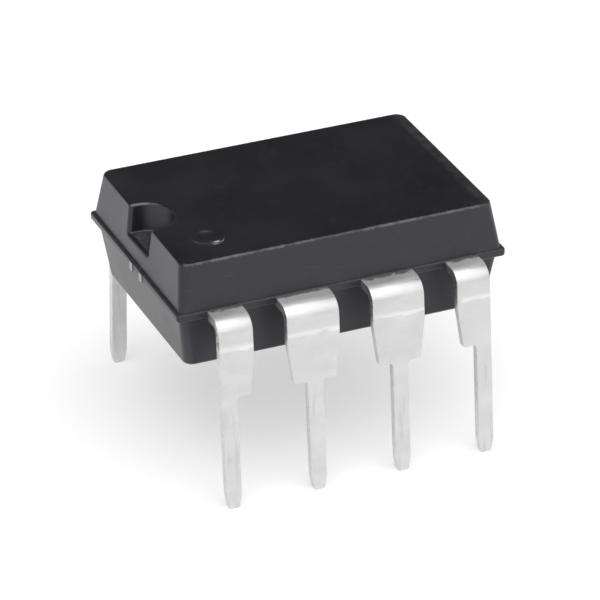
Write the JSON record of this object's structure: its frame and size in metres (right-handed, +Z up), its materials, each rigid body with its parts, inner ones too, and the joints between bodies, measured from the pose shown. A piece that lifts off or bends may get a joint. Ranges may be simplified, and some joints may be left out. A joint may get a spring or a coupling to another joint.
{
  "type": "dual in-line package chip",
  "caption": "Dark moulded dual in-line chip with a notch and dimple at one end, and bent tin-plated leads along both long sides that stand it clear of a board.",
  "frame": {"origin": "middle of the lead pattern, on the plane of the lead tips", "axes": "+X along the rows, away from the notched end; +Y across the rows, towards leads 5 to 8; +Z up, out of the top face"},
  "size_m": [0.0098, 0.0092, 0.007],
  "materials": {
    "resin": "fine spark-eroded mould texture, low sheen",
    "tin_plate": "satin tin plate over nickel-iron sheet",
    "frame_alloy": "rolled nickel-iron sheet",
    "silver_adhesive": "cured silver-filled resin",
    "silicon": "polished silicon",
    "gold_wire": "drawn gold"
  },
  "bodies": {
    "root": {"body": "resin", "lead_1": "tin_plate", "lead_2": "tin_plate", "lead_3": "tin_plate", "lead_4": "tin_plate", "lead_5": "tin_plate", "lead_6": "tin_plate", "lead_7": "tin_plate", "lead_8": "tin_plate", "die_paddle": "frame_alloy", "die_attach": "silver_adhesive", "die": "silicon", "bond_wire_1": "gold_wire", "bond_wire_2": "gold_wire", "bond_wire_3": "gold_wire", "bond_wire_4": "gold_wire", "bond_wire_5": "gold_wire", "bond_wire_6": "gold_wire", "bond_wire_7": "gold_wire", "bond_wire_8": "gold_wire"}
  },
  "joints": []
}
